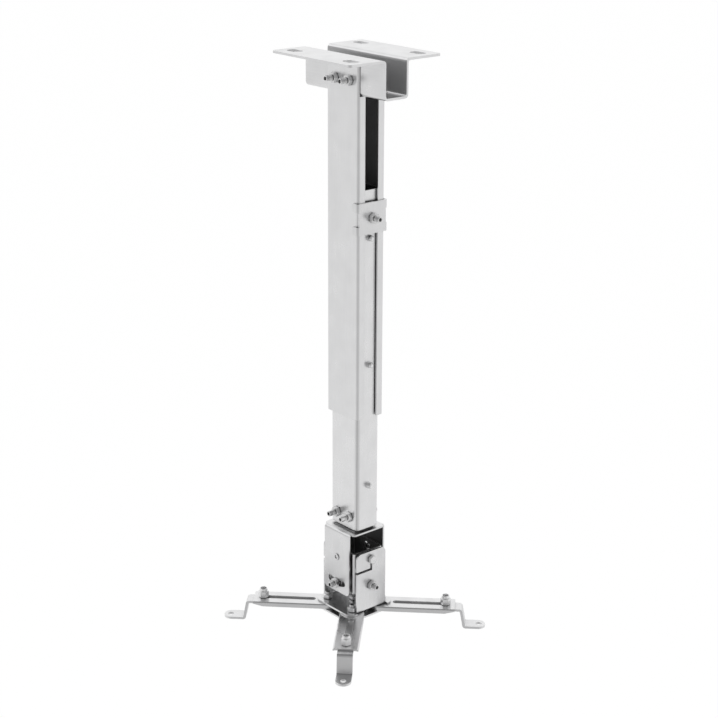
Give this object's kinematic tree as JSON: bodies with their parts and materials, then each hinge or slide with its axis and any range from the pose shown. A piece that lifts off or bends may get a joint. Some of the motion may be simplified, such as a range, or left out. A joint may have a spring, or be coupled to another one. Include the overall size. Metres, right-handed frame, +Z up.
{
  "type": "projector ceiling mount",
  "caption": "Telescopic ceiling mount for a projector: hat bracket, sliding column with a clamp, two-way tilt box and spread slotted arms with cranked feet.",
  "frame": {"origin": "on the ceiling plane, at the middle of the bracket's slots; the mount hangs below it", "axes": "+Z up to the ceiling, +X out of the column's slotted side, +Y along the column's through bolts, towards their heads"},
  "size_m": [0.1702, 0.1702, 0.5096],
  "materials": {
    "bracket_steel": "satin plated",
    "column_steel": "satin plated",
    "plate_steel": "satin plated",
    "arm_steel": "satin plated",
    "fastener_zinc": "bright plated"
  },
  "bodies": {
    "ceiling": {"ceiling_bracket": "bracket_steel", "outer_column": "column_steel", "bracket_bolts": "fastener_zinc", "bracket_nuts": "fastener_zinc"},
    "drop": {"inner_column": "column_steel", "clamp_plate": "plate_steel", "clamp_bolt": "fastener_zinc", "clamp_nut": "fastener_zinc", "guide_screws": "fastener_zinc", "tube_socket": "plate_steel", "socket_bolts": "fastener_zinc", "socket_nuts": "fastener_zinc", "yoke": "plate_steel"},
    "ring": {"tilt_ring": "plate_steel", "pitch_pivots": "fastener_zinc", "pitch_lock_bolts": "fastener_zinc", "pitch_lock_nuts": "fastener_zinc", "roll_pivots": "fastener_zinc"},
    "cradle": {"cradle": "plate_steel", "roll_lock_bolts": "fastener_zinc", "roll_lock_nuts": "fastener_zinc", "arm_pivot_bolts": "fastener_zinc", "arm_pivot_nuts": "fastener_zinc", "cover_plate": "plate_steel", "cover_spacer": "fastener_zinc", "cover_bolt": "fastener_zinc", "cover_nut": "fastener_zinc"},
    "arm_right": {"arm_right": "arm_steel"},
    "foot_right": {"foot_right": "arm_steel", "foot_bolt_right": "fastener_zinc", "foot_nut_right": "fastener_zinc"},
    "arm_back": {"arm_back": "arm_steel"},
    "foot_back": {"foot_back": "arm_steel", "foot_bolt_back": "fastener_zinc", "foot_nut_back": "fastener_zinc"},
    "arm_left": {"arm_left": "arm_steel"},
    "foot_left": {"foot_left": "arm_steel", "foot_bolt_left": "fastener_zinc", "foot_nut_left": "fastener_zinc"},
    "arm_front": {"arm_front": "arm_steel"},
    "foot_front": {"foot_front": "arm_steel", "foot_bolt_front": "fastener_zinc", "foot_nut_front": "fastener_zinc"}
  },
  "joints": [
    {"name": "column_slide", "type": "slide", "parent": "ceiling", "child": "drop", "axis": [0, 0, 1], "range_m": [-0.14, 0.075]},
    {"name": "pitch", "type": "hinge", "parent": "drop", "child": "ring", "pos_m": [0, 0, -0.44], "axis": [0, 1, 0], "range_deg": [-7, 7]},
    {"name": "roll", "type": "hinge", "parent": "ring", "child": "cradle", "pos_m": [0, 0, -0.44], "axis": [1, 0, 0], "range_deg": [-15, 15]},
    {"name": "arm_right_swing", "type": "hinge", "parent": "cradle", "child": "arm_right", "pos_m": [0.01675, 0.01675, -0.4894], "axis": [0, 0, 1], "range_deg": [-40, 40]},
    {"name": "foot_right_slide", "type": "slide", "parent": "arm_right", "child": "foot_right", "axis": [-0.7071, -0.7071, 0], "range_m": [0, 0.019]},
    {"name": "arm_back_swing", "type": "hinge", "parent": "cradle", "child": "arm_back", "pos_m": [-0.01675, 0.01675, -0.4894], "axis": [0, 0, 1], "range_deg": [-40, 40]},
    {"name": "foot_back_slide", "type": "slide", "parent": "arm_back", "child": "foot_back", "axis": [0.7071, -0.7071, 0], "range_m": [0, 0.019]},
    {"name": "arm_left_swing", "type": "hinge", "parent": "cradle", "child": "arm_left", "pos_m": [-0.01675, -0.01675, -0.4894], "axis": [0, 0, 1], "range_deg": [-40, 40]},
    {"name": "foot_left_slide", "type": "slide", "parent": "arm_left", "child": "foot_left", "axis": [0.7071, 0.7071, 0], "range_m": [0, 0.019]},
    {"name": "arm_front_swing", "type": "hinge", "parent": "cradle", "child": "arm_front", "pos_m": [0.01675, -0.01675, -0.4894], "axis": [0, 0, 1], "range_deg": [-40, 40]},
    {"name": "foot_front_slide", "type": "slide", "parent": "arm_front", "child": "foot_front", "axis": [-0.7071, 0.7071, 0], "range_m": [0, 0.019]}
  ]
}
